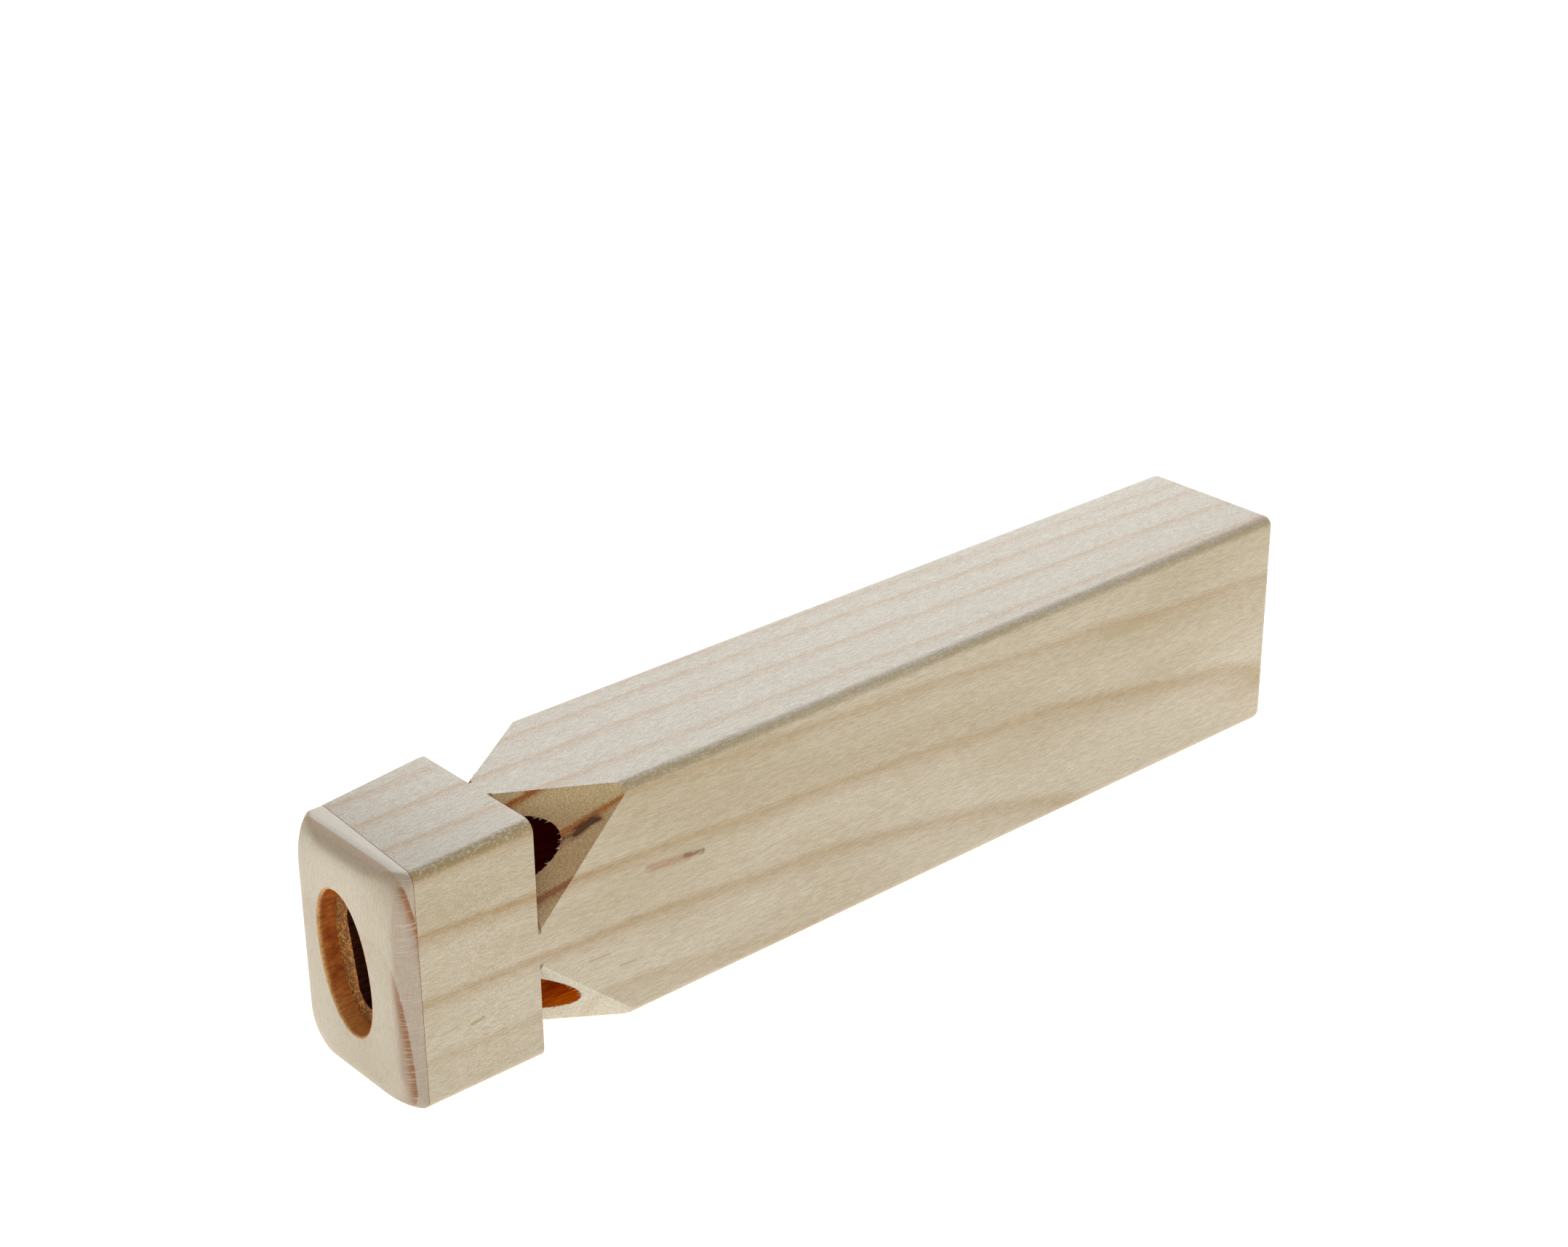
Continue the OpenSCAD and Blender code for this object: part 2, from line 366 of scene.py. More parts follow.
# %% Fuzz, resin and single marks
SANDED_FIBRES = Grain((0.55, 4.5, 4.5), 3.0, 0.6)
SANDED_DUST = Grain((4.5, 6.0, 6.0), 2.0, 0.6, 31.0)
FIBRE_SHARE, DUST_SHARE = 0.45, 0.55
CANALS = Grain((0.28, 4.6, 4.6), 1.0, 0.5, 57.0)
CANAL_PATCHES = Grain((0.03, 0.12, 0.12), 1.0, 0.5, 11.0)
RESIN_DASH = (0.34, 0.25, 0.12)
OLIVE = (0.41, 0.315, 0.135)
PITCH = (0.25, 0.115, 0.045)
PITCH_STAIN = (0.40, 0.23, 0.12)
TOP_Z = BLOCK_H / MM
MARKS = [
    ((-87.2, RIGHT_Y, 12.1), (-85.0, RIGHT_Y, 12.4), 0.5, OLIVE, 0.9),
    ((-93.0, RIGHT_Y, 12.5), (-89.6, RIGHT_Y, 12.8), 0.4, OLIVE, 0.55),
    ((-54.6, RIGHT_Y, 36.4), (-52.4, RIGHT_Y, 36.6), 0.7, OLIVE, 0.5),
    ((-43.2, RIGHT_Y, 38.5), (-41.0, RIGHT_Y, 38.7), 0.7, OLIVE, 0.5),
    ((54.0, RIGHT_Y, 32.4), (63.0, RIGHT_Y, 32.0), 1.7, OLIVE, 0.4),
    ((-64.5, RIGHT_Y, 13.8), (-60.5, RIGHT_Y, 13.6), 0.3, RESIN_DASH, 0.6),
    ((-58.5, RIGHT_Y, 10.5), (-55.4, RIGHT_Y, 10.3), 0.3, RESIN_DASH, 0.6),
    ((-52.0, RIGHT_Y, 25.8), (-44.0, RIGHT_Y, 25.0), 1.2, PITCH_STAIN, 0.8),
    ((-44.6, RIGHT_Y, 25.3), (-41.0, RIGHT_Y, 24.8), 0.75, PITCH, 0.9),
    ((-89.6, 8.2, TOP_Z), (-86.0, 9.0, TOP_Z), 0.3, RESIN_DASH, 0.6),
    ((-87.4, -6.9, TOP_Z), (-83.4, -6.7, TOP_Z), 0.3, RESIN_DASH, 0.6),
    ((-76.3, -5.9, TOP_Z), (-72.3, -5.5, TOP_Z), 0.3, RESIN_DASH, 0.5),
]


def sanding_fuzz(pine, fibres, dust):
    """Fuzz of sanded wood, from fibres along the grain and dust."""
    return pine.add(pine.times(fibres, FIBRE_SHARE), pine.times(dust, DUST_SHARE))


def resin_marks(pine, colour, fibres):
    """Lays the resin dashes and the single marks over a colour."""
    dashes = pine.step(pine.noise(CANALS), 0.71, 0.77)
    patches = pine.step(pine.noise(CANAL_PATCHES), 0.42, 0.62)
    colour = pine.mix(pine.times(pine.times(dashes, patches), 0.6), colour, RESIN_DASH)
    for start, end, reach, tint, share in MARKS:
        mark = pine.times(pine.streak(start, end, reach), pine.step(fibres, 0.36, 0.52))
        colour = pine.mix(pine.times(mark, share), colour, tint)
    return colour


print("single marks:", len(MARKS))

# %% [markdown]
# ## Rough edges and end grain
#
# The upper long edges lie in latewood and were sanded rough, so they are browner, with pale specks of
# torn fibre; their browning is partly painted shade of the rounded edge. The rear end, and the front
# face behind the blow hole, show end grain, which is full of pores; behind the hole it is browned. Both
# layers give back a relief as well, so that the roughness catches the light.

# %% Rough edges and end grain
# Brown of the rough edges, which also stands for painted shade on the rounded edge.
ROUGH_EDGE_AND_SHADE = (0.40, 0.285, 0.125)
EDGE_SPECKS = Grain((1.6, 2.6, 2.6), 3.0, 0.65, 71.0)
EDGE_ROUGH_X, EDGE_SMOOTHER_X = -74.0, -30.0
END_PORES = Grain((0.4, 2.4, 2.4), 4.0, 0.75, 5.0)
END_PIT, END_WALL = (0.27, 0.17, 0.08), (0.50, 0.37, 0.21)
HEAD_PIT, HEAD_WALL = (0.14, 0.038, 0.008), (0.70, 0.30, 0.045)
END_LATEWOOD = (0.30, 0.13, 0.04)
BROWNED_TO_X, BROWNED_FULL_X = X_SEAM / MM + 8.0, X_SEAM / MM + 4.0


def rough_edges_and_shade(pine, colour, face_y, face_z):
    """Browns the upper long edges, partly as painted shade, and strews pale specks on them."""
    edge = pine.step(pine.math("MINIMUM", pine.math("ABSOLUTE", face_y), face_z), 0.1, 0.42)
    edge = pine.times(edge, pine.step(pine.x, EDGE_ROUGH_X, EDGE_SMOOTHER_X, 1.0, 0.4))
    specks = pine.noise(EDGE_SPECKS)
    # Real browning together with painted shade on the rounded edge.
    browned = pine.times(edge, pine.step(specks, 0.62, 0.44, 0.15, 0.85))
    torn = pine.times(edge, pine.step(specks, 0.58, 0.66, 0.0, 0.75))
    colour = pine.mix(torn, pine.mix(browned, colour, ROUGH_EDGE_AND_SHADE), EARLYWOOD_TOP_SHEEN)
    return colour, pine.times(pine.times(edge, specks), 1.2)


def end_grain(pine, colour, rings, face_x):
    """Lays end grain over the faces that look forward or back."""
    ends = pine.step(pine.math("ABSOLUTE", face_x), 0.6, 0.95)
    pores = pine.step(pine.noise(END_PORES), 0.40, 0.58)
    in_head = pine.step(pine.x, BROWNED_TO_X, BROWNED_FULL_X)
    pit = pine.mix(in_head, END_PIT, HEAD_PIT)
    wall = pine.mix(in_head, END_WALL, HEAD_WALL)
    tone = pine.mix(pine.times(rings, 0.6), pine.mix(pores, pit, wall), END_LATEWOOD)
    colour = pine.mix(pine.times(ends, 0.95), colour, tone)
    return colour, pine.times(pine.times(ends, pores), pine.step(in_head, 0.0, 1.0, 0.8, 4.0))


print("end grain is browned up to x in mm:", round(BROWNED_TO_X, 1))

# %% [markdown]
# ## The block's outside
#
# The layers are now laid over each other in the order in which the wood got them: its own tone and
# rings with their painted sheen and floor light, the fuzz of the sandpaper, the marks, the rough edges
# with their painted shade and last the end grain. The hollows of
# the fuzz are darker and rougher than what stands up, so one noise drives colour, roughness and relief.

# %% Finish of the block's outside
BLOCK_FUZZ_SHADE = (0.76, 0.71, 0.62)
HOLLOW_ROUGHNESS, RAISED_ROUGHNESS = 0.66, 0.48


def pine_block_finish():
    """Sanded pine of the block's outside."""
    pine = Finish("pine_block")
    face_x, face_y, face_z = pine.facing()
    rings = block_rings(pine)
    colour = block_tone(pine, rings, face_z)
    fibres = pine.noise(SANDED_FIBRES)
    fuzz = sanding_fuzz(pine, fibres, pine.noise(SANDED_DUST))
    colour = pine.mix(pine.step(fuzz, 0.62, 0.38), colour, BLOCK_FUZZ_SHADE, "MULTIPLY")
    colour = resin_marks(pine, colour, fibres)
    colour, edge_relief = rough_edges_and_shade(pine, colour, face_y, face_z)
    colour, end_relief = end_grain(pine, colour, rings, face_x)
    roughness = pine.step(fuzz, 0.2, 0.8, HOLLOW_ROUGHNESS, RAISED_ROUGHNESS)
    pine.surface(colour, roughness, gloss=0.4)
    pine.bump(pine.add(pine.add(fuzz, end_relief), edge_relief), distance_mm=0.16, strength=0.6)
    return pine.material


PINE_BLOCK = pine_block_finish()
print("finish:", PINE_BLOCK.name, "with", len(PINE_BLOCK.node_tree.nodes), "nodes")

# %% [markdown]
# ## Sawn planes of the notches
#
# The saw crosses the rings at a slant, so they show as broad red-brown bands in the notches, with the
# fine weave of cut fibres. The upper planes are browner than the lower ones, partly as painted shade in
# the hollow of the notch, and the lower ones are partly painted light from the floor; the paler rim at
# the top is partly painted light too. A small knot lies in the top right one as a dark streak. The knot
# is made of two lines through the wood with a browner halo round them.

# %% Finish of the sawn planes
# The split of high and low tones is partly painted: shade in the upper notches, light in the lower ones
# and on the rim.
SAWN_HIGH_TONE_AND_SHADE = (0.50, 0.348, 0.19)
SAWN_LOW_TONE_AND_LIGHT = (0.77, 0.735, 0.61)
SAWN_RIM_TONE_AND_LIGHT = (0.70, 0.57, 0.32)
SAWN_HIGH_LATEWOOD = (0.43, 0.155, 0.035)
SAWN_MID_LATEWOOD = (0.33, 0.145, 0.07)
SAWN_LOW_LATEWOOD_AND_LIGHT = (0.64, 0.49, 0.34)
SAWN_SHADE = (0.72, 0.64, 0.54)
SAWN_FIBRES = Grain((1.6, 5.5, 5.5), 3.0, 0.65)
SAWN_LOW_Z, SAWN_HIGH_Z = 14.0, 28.0
SAWN_MID_Z, SAWN_REDDEST_Z = 30.0, 37.0
SAWN_RIM_FROM_Z, SAWN_RIM_Z = 37.5, 42.0
KNOT = (0.068, 0.027, 0.01)
KNOT_HALO = (0.23, 0.10, 0.04)
KNOT_START = (-60.9, -13.7, 38.0)
KNOT_END = (-64.6, -12.6, 36.2)
KNOT_TAIL = (-68.2, -11.5, 34.4)
KNOT_R, KNOT_TAIL_R, KNOT_HALO_R = 1.1, 0.6, 1.6
KNOT_RAGGED = Grain((0.35, 0.8, 0.8), 2.0, 0.6, 19.0)


def knot(pine, colour):
    """Lays the knot over a colour, with a ragged edge."""
    ragged = pine.step(pine.noise(KNOT_RAGGED), 0.35, 0.65, 0.55, 1.5)
    halo = pine.times(pine.streak(KNOT_START, KNOT_TAIL, KNOT_HALO_R), ragged)
    colour = pine.mix(pine.step(halo, 0.1, 0.9, 0.0, 0.6), colour, KNOT_HALO)
    head = pine.streak(KNOT_START, KNOT_END, KNOT_R)
    tail = pine.streak(KNOT_END, KNOT_TAIL, KNOT_TAIL_R)
    core = pine.times(pine.math("MAXIMUM", head, tail), ragged)
    return pine.mix(pine.step(core, 0.25, 0.85, 0.0, 0.88), colour, KNOT)


def sawn_pine_finish():
    """Pine on the planes of the notches, with painted shade high up and painted light low down and on
    the rim.
    """
    pine = Finish("sawn_pine")
    rings = block_rings(pine)
    # Browner wood together with painted shade in the upper notches.
    high = pine.step(pine.z, SAWN_LOW_Z, SAWN_HIGH_Z)
    # Partly painted light on the rim at the top of the upper planes.
    rim = pine.times(high, pine.step(pine.z, SAWN_RIM_FROM_Z, SAWN_RIM_Z))
    early = pine.mix(pine.times(rim, 0.75), pine.mix(high, SAWN_LOW_TONE_AND_LIGHT, SAWN_HIGH_TONE_AND_SHADE), SAWN_RIM_TONE_AND_LIGHT)
    reddest = pine.step(pine.z, SAWN_MID_Z, SAWN_REDDEST_Z)
    late = pine.mix(reddest, SAWN_MID_LATEWOOD, SAWN_HIGH_LATEWOOD)
    # The same painted split, shade high and light low, for the latewood.
    late = pine.mix(high, SAWN_LOW_LATEWOOD_AND_LIGHT, late)
    fibres = pine.noise(SAWN_FIBRES)
    colour = pine.mix(pine.step(rings, 0.12, 0.75), early, late)
    colour = pine.mix(pine.step(fibres, 0.62, 0.36), colour, SAWN_SHADE, "MULTIPLY")
    pine.surface(knot(pine, colour), roughness=0.75, gloss=0.2)
    pine.bump(fibres, distance_mm=0.2, strength=0.6)
    return pine.material


SAWN_PINE = sawn_pine_finish()
print("finish:", SAWN_PINE.name, "with", len(SAWN_PINE.node_tree.nodes), "nodes")

# %% [markdown]
# ## Drilled pipes and the wind slot
#
# The drill left the pipes orange-brown; their deep orange, lighter low down, is partly painted light
# that bounces inside the pine, and the upper ones, where little light comes in, are painted nearly black
# as shade.
# The thin walls of the lower pipes let some warm light through, which a faint glow stands for. It
# starts at the notch, so the bores in the head stay dark. The slot behind the blow hole is painted
# darkest, as shade.

# %% Finishes of the pipes and the wind slot
BORE_STREAKS = Grain((0.3, 2.5, 2.5), 3.0, 0.6)
# Painted light and shade: deep orange of bounced light low down, lighter at the floor, nearly black as
# shade high up.
BORE_LOW_TONE_AND_BOUNCE, BORE_FLOOR_LIGHT, BORE_HIGH_SHADE = (0.30, 0.075, 0.006), (0.62, 0.22, 0.02), (0.075, 0.014, 0.006)
BORE_LOW_Z, BORE_HIGH_Z = 16.0, 26.0
BORE_MIDDLE_Z, BORE_FLOOR_Z = 12.0, 6.0
BORE_SHADE = (0.66, 0.52, 0.40)
BORE_RING_SHADE = (0.55, 0.40, 0.30)
GLOW_THICK, GLOW_THIN, GLOW_HIGH = (0.055, 0.006, 0.0), (0.235, 0.054, 0.001), (0.010, 0.0, 0.0)
GLOW_SHADE = (0.60, 0.50, 0.40)
GLOW_START = 3.0
THICK_WALL_Y, THIN_WALL_Y = 5.0, 9.0
SLOT_STREAKS = Grain((0.5, 2.0, 2.0), 3.0, 0.6)
# Painted shade: the deep slot is drawn nearly black.
SLOT_SHADE_DARK, SLOT_SHADE_LIGHTER = (0.03, 0.007, 0.004), (0.075, 0.02, 0.008)


def bored_pine_finish():
    """Walls of the pipes, with painted shade in the upper ones and painted bounce light low down."""
    pine = Finish("bored_pine")
    rings = block_rings(pine)
    streaks = pine.noise(BORE_STREAKS)
    dark = pine.step(streaks, 0.62, 0.38)
    # Painted shade in the upper pipes.
    high = pine.step(pine.z, BORE_LOW_Z, BORE_HIGH_Z)
    # Painted bounce light, lighter towards the floor of the pipe.
    low = pine.mix(pine.step(pine.z, BORE_MIDDLE_Z, BORE_FLOOR_Z), BORE_LOW_TONE_AND_BOUNCE, BORE_FLOOR_LIGHT)
    colour = pine.mix(dark, pine.mix(high, low, BORE_HIGH_SHADE), BORE_SHADE, "MULTIPLY")
    colour = pine.mix(pine.times(rings, 0.4), colour, BORE_RING_SHADE, "MULTIPLY")
    thin = pine.step(pine.math("ABSOLUTE", pine.y), THICK_WALL_Y, THIN_WALL_Y)
    glow = pine.mix(high, pine.mix(thin, GLOW_THICK, GLOW_THIN), GLOW_HIGH)
    glow = pine.mix(dark, glow, GLOW_SHADE, "MULTIPLY")
    notch_x = X_NOTCH / MM
    pine.feed(pine.shader["Emission Color"], glow)
    pine.feed(pine.shader["Emission Strength"], pine.step(pine.x, notch_x - GLOW_START, notch_x))
    pine.surface(colour, roughness=0.6, gloss=0.15)
    pine.bump(streaks, distance_mm=0.15, strength=0.5)
    return pine.material


def wind_slot_finish():
    """Walls of the slot behind the blow hole, painted nearly black as shade."""
    pine = Finish("wind_slot")
    streaks = pine.noise(SLOT_STREAKS)
    colour = pine.mix(pine.step(streaks, 0.35, 0.65), SLOT_SHADE_DARK, SLOT_SHADE_LIGHTER)
    pine.surface(colour, roughness=0.8, gloss=0.05)
    pine.bump(streaks, distance_mm=0.15, strength=0.5)
    return pine.material


BORED_PINE = bored_pine_finish()
WIND_SLOT = wind_slot_finish()
BLOCK_FINISHES = [PINE_BLOCK, SAWN_PINE, BORED_PINE, WIND_SLOT]
print("block finishes:", [finish.name for finish in BLOCK_FINISHES])

# %% [markdown]
# ## Pine of the mouthpiece
#
# The mouthpiece is a separate piece with upright grain. Its rings lie almost flat behind the front
# face, so the round front edge cuts through them and they show as red-brown streaks that run along
# the corner and drift back to the seam lower down. Again the rings are sheets in the solid: here a
# sheet is the depth behind the front face plus a little of the height. Sandpaper left fine scratches
# across the streaks, and the round edge along the top is a little olive.

# %% Growth rings of the mouthpiece
CAP_BEND = 0.0032
CAP_TURN = -0.115
CAP_TURN_FROM, CAP_TURN_WIDTH = -14.0, 4.0
CAP_RING_FUZZ, CAP_RING_FUZZ_MM = Grain((3.0, 3.0, 1.2), 2.0, 0.5, 8.0), 0.25
CAP_RING_SCALE = 12.0
CAP_RING_SHAPE = [(-2.1, 0.0), (-1.1, 0.4), (-0.5, 1.0), (-0.1, 1.0), (0.06, 0.0)]
CAP_RINGS = [(2.3, 0.9), (7.65, 1.0)]


def cap_rings(pine):
    """Strength of the latewood in the mouthpiece, whose sheets bend forward towards the top."""
    depth = pine.add(pine.x, -X_FRONT / MM)
    bend = pine.times(pine.math("POWER", pine.z, 2.0), CAP_BEND)
    across = pine.math("MINIMUM", pine.add(pine.y, -CAP_TURN_FROM), CAP_TURN_WIDTH)
    sheet = pine.add(pine.add(depth, bend), pine.times(across, CAP_TURN))
    sheet = pine.add(sheet, pine.sway(CAP_RING_FUZZ, CAP_RING_FUZZ_MM))
    return latewood_bands(pine, sheet, CAP_RINGS, CAP_RING_SHAPE, CAP_RING_SCALE)


print("rings in the mouthpiece:", len(CAP_RINGS))

# %% Finish of the mouthpiece
CAP_FRONT, CAP_FRONT_PALE = (0.615, 0.54, 0.41), (0.635, 0.57, 0.45)
CAP_SIDE = (0.505, 0.42, 0.325)
CAP_LATEWOOD = (0.31, 0.115, 0.026)
CAP_TOP_LATEWOOD = (0.47, 0.30, 0.17)
CAP_OLIVE = (0.42, 0.34, 0.185)
CAP_FUZZ_SHADE = (0.85, 0.80, 0.73)
CAP_SCRATCH = (0.60, 0.49, 0.38)
CAP_CLOUDS = Grain((0.09, 0.09, 0.03), 2.0, 0.5, 21.0)
CAP_FIBRES = Grain((4.5, 4.5, 0.55), 3.0, 0.6)
CAP_DUST = Grain((6.0, 6.0, 4.5), 2.0, 0.6, 31.0)
CAP_SCRATCHES = Grain((0.22, 0.3, 4.5), 2.0, 0.5, 23.0)


def cap_tone(pine, face_x, face_z, upright):
    """Earlywood and latewood of the mouthpiece, with streaks on its upright sides and its top, and
    painted sheen on its top.
    """
    front = pine.step(face_x, -0.80, -0.97)
    clouds = pine.step(pine.noise(CAP_CLOUDS), 0.35, 0.65)
    early = pine.mix(front, CAP_SIDE, pine.mix(clouds, CAP_FRONT, CAP_FRONT_PALE))
    # Painted sheen on the faces that look up.
    early = pine.mix(pine.step(face_z, 0.75, 0.97), early, EARLYWOOD_TOP_SHEEN)
    late = pine.mix(pine.step(face_z, 0.4, 0.8), CAP_LATEWOOD, CAP_TOP_LATEWOOD)
    shown = pine.math("MAXIMUM", pine.times(upright, 0.95), pine.step(face_z, 0.35, 0.8, 0.1, 0.6))
    return pine.mix(pine.times(cap_rings(pine), shown), early, late)


def pine_mouthpiece_finish():
    """Sanded pine with upright grain, and red-brown streaks where the round edge cuts the rings."""
    pine = Finish("pine_mouthpiece")
    face_x, face_y, face_z = pine.facing()
    upright = pine.step(pine.math("ABSOLUTE", face_y), 0.2, 0.7)
    colour = cap_tone(pine, face_x, face_z, upright)
    fuzz = sanding_fuzz(pine, pine.noise(CAP_FIBRES), pine.noise(CAP_DUST))
    colour = pine.mix(pine.step(fuzz, 0.64, 0.34), colour, CAP_FUZZ_SHADE, "MULTIPLY")
    top_edge = pine.times(pine.step(face_z, 0.3, 0.5), pine.step(face_z, 0.78, 0.58))
    colour = pine.mix(pine.times(top_edge, pine.step(fuzz, 0.60, 0.42, 0.08, 0.5)), colour, CAP_OLIVE)
    scratches = pine.step(pine.noise(CAP_SCRATCHES), 0.52, 0.62)
    scratches = pine.times(scratches, pine.times(upright, pine.step(face_x, -0.95, -0.7)))
    colour = pine.mix(pine.times(scratches, 0.5), colour, CAP_SCRATCH)
    roughness = pine.step(fuzz, 0.2, 0.8, HOLLOW_ROUGHNESS, RAISED_ROUGHNESS)
    pine.surface(colour, roughness, gloss=0.35)
    pine.bump(pine.add(fuzz, pine.times(scratches, 0.5)), distance_mm=0.16, strength=0.5)
    return pine.material


PINE_MOUTHPIECE = pine_mouthpiece_finish()
print("finish:", PINE_MOUTHPIECE.name, "with", len(PINE_MOUTHPIECE.node_tree.nodes), "nodes")

# %% [markdown]
# ## Wall of the blow hole
#
# The cutter browned the wall of the blow hole and left it smooth. It is paler at the rim, where the
# sandpaper reached, and lighter orange low down, where more light falls on it.

# %% Finish of the blow hole
HOLE_STREAKS = Grain((0.25, 1.2, 0.35), 3.0, 0.6, 17.0)
HOLE_FIBRES = Grain((0.6, 4.0, 1.5), 2.0, 0.6, 2.0)
HOLE_DARK, HOLE_LIGHT = (0.37, 0.095, 0.012), (0.56, 0.18, 0.03)
HOLE_LOW, HOLE_RIM = (0.66, 0.28, 0.07), (0.60, 0.32, 0.11)
HOLE_SHADE = (0.74, 0.64, 0.54)
HOLE_MIDDLE_Z, HOLE_LOW_Z = 17.0, 9.0
HOLE_WALL_DEPTH, HOLE_RIM_DEPTH = 0.8, 0.2


def blow_hole_finish():
    """Wall of the blow hole, smooth and browned by the cutter."""
    pine = Finish("blow_hole_wall")
    fibres = pine.noise(HOLE_FIBRES)
    depth = pine.add(pine.x, -X_FRONT / MM)
    tone = pine.mix(pine.step(pine.noise(HOLE_STREAKS), 0.38, 0.62), HOLE_DARK, HOLE_LIGHT)
    tone = pine.mix(pine.step(pine.z, HOLE_MIDDLE_Z, HOLE_LOW_Z), tone, HOLE_LOW)
    tone = pine.mix(pine.step(depth, HOLE_WALL_DEPTH, HOLE_RIM_DEPTH), tone, HOLE_RIM)
    colour = pine.mix(pine.step(fibres, 0.6, 0.35), tone, HOLE_SHADE, "MULTIPLY")
    pine.surface(colour, roughness=0.55, gloss=0.3)
    pine.bump(fibres, distance_mm=0.1, strength=0.4)
    return pine.material


BLOW_HOLE_WALL = blow_hole_finish()
print("finish:", BLOW_HOLE_WALL.name, "with", len(BLOW_HOLE_WALL.node_tree.nodes), "nodes")

# %% [markdown]
# ## Dowel
#
# The plugs are short lengths of dowel. Only their rear ends and the flats over the windways can be
# seen, deep in the notches, so they get a plain end grain with fine pores.

# %% Finish of the dowels
DOWEL_PORES = Grain((0.6, 3.5, 3.5), 3.0, 0.7, 41.0)
DOWEL_RINGS = Grain((0.02, 0.25, 0.9), 1.0, 0.5, 13.0)
DOWEL_LATEWOOD, DOWEL_EARLYWOOD = (0.46, 0.33, 0.18), (0.58, 0.45, 0.27)
DOWEL_PIT = (0.28, 0.18, 0.08)


def dowel_finish():
    """Bare dowel with end grain."""
    pine = Finish("dowel")
    pores = pine.step(pine.noise(DOWEL_PORES), 0.35, 0.68)
    tone = pine.mix(pine.step(pine.noise(DOWEL_RINGS), 0.4, 0.6), DOWEL_LATEWOOD, DOWEL_EARLYWOOD)
    pine.surface(pine.mix(pores, DOWEL_PIT, tone), roughness=0.7, gloss=0.25)
    pine.bump(pores, distance_mm=0.12, strength=0.5)
    return pine.material


DOWEL = dowel_finish()
for pipe in PIPES:
    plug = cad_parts["fipple_plug_" + pipe.name]
    plug.data.materials.clear()
    plug.data.materials.append(DOWEL)
print("plugs finished:", len(PIPES))

# %% [markdown]
# ## The block
#
# A maker planes a bar, rounds its long edges and its rear end, saws the notches and drills the pipes.
# The mesh follows the same order. A cube is scaled to the bar and its edges are bevelled, a plane
# bisects it where the head starts to lean in, and the seam end is drawn in by that lean. The seam was
# sawn a little out of square, so its edge slants back to the left; an inset leaves the face behind
# the blow hole flat.

# %% Helpers for pieces
def new_piece(name, bm, finishes):
    """Makes an object from a bmesh, at the origin and unturned, with its place in its mesh."""
    mesh = bpy.data.meshes.new(name)
    bm.to_mesh(mesh)
    bm.free()
    for finish in finishes:
        mesh.materials.append(finish)
    piece = bpy.data.objects.new(name, mesh)
    bpy.context.scene.collection.objects.link(piece)
    return piece


def bevel_edges(bm, edges, offset, segments):
    """Rounds edges evenly."""
    bmesh.ops.bevel(bm, geom=edges, offset=offset, offset_type="OFFSET", segments=segments,
                    profile=0.5, affect="EDGES", material=-1, clamp_overlap=True)


def shade_by_angle(piece, degrees):
    """Smooth shading, with edges sharper than an angle kept crisp."""
    for face in piece.data.polygons:
        face.use_smooth = True
    piece.data.set_sharp_from_angle(angle=math.radians(degrees))


print("helpers:", [helper.__name__ for helper in (new_piece, bevel_edges, shade_by_angle)])

# %% Planed and rounded bar
EDGE_R = 2 * MM
EDGE_STEPS = 8
HEAD_STRAIGHT = 1 * MM
SEAM_CHAMFER = 0.09 * MM
SEAM_CHAMFER_STEPS = 2
SEAM_SLANT = 2.0 * MM
SEAM_RIM = 1.5 * MM
LEDGE_X = X_SEAM - 0.8 * MM
TINY = 0.01 * MM


def seam_shift(y):
    """How far back the seam lies, which was sawn a little out of square."""
    return SEAM_SLANT * (y - cap_low.y) / (cap_high.y - cap_low.y)


def at_seam(edge):
    """Whether an edge of the bar lies in its seam end."""
    return all(vert.co.x < X_SEAM + TINY for vert in edge.verts)


def lean_head(bm, x_straight):
    """Draws the seam end in to the mouthpiece's outline, and slants its edge."""
    right_in = cap_low.y - body_low.y
    left_in = body_high.y - cap_high.y
    for vert in bm.verts:
        lean = max(0, (x_straight - vert.co.x) / (x_straight - X_SEAM))
        across = (vert.co.y - body_low.y) / BLOCK_W
        vert.co.y += lean * (right_in * (1 - across) - left_in * across)
        vert.co.z *= 1 - lean * (1 - cap_high.z / BLOCK_H)
        if vert.co.x < X_SEAM + SEAM_CHAMFER + TINY:
            vert.co.x += seam_shift(vert.co.y)


def planed_bar():
    """The bar with round long edges, a round rear end and a head that leans in to the seam."""
    bm = bmesh.new()
    bmesh.ops.create_cube(bm, size=1)
    bmesh.ops.scale(bm, vec=(X_REAR - X_SEAM, BLOCK_W, BLOCK_H), verts=bm.verts)
    bmesh.ops.translate(bm, vec=((X_REAR + X_SEAM) / 2, 0, Z_MID), verts=bm.verts)
    bevel_edges(bm, [edge for edge in bm.edges if not at_seam(edge)], EDGE_R, EDGE_STEPS)
    bevel_edges(bm, [edge for edge in bm.edges if at_seam(edge)], SEAM_CHAMFER, SEAM_CHAMFER_STEPS)
    x_straight = X_NOTCH - HEAD_STRAIGHT
    everything = bm.verts[:] + bm.edges[:] + bm.faces[:]
    bmesh.ops.bisect_plane(bm, geom=everything, dist=TINY, plane_co=(x_straight, 0, 0),
                           plane_no=(1, 0, 0))
    lean_head(bm, x_straight)
    bm.normal_update()
    front_faces = [face for face in bm.faces if face.normal.x < -0.9]
    end = max(front_faces, key=lambda face: face.calc_area())
    bmesh.ops.inset_region(bm, faces=[end], thickness=SEAM_RIM, use_even_offset=True)
    for vert in end.verts:
        vert.co.x = LEDGE_X
    return new_piece("whistle_block", bm, BLOCK_FINISHES)


block = planed_bar()
print("planed bar:", len(block.data.polygons), "faces")

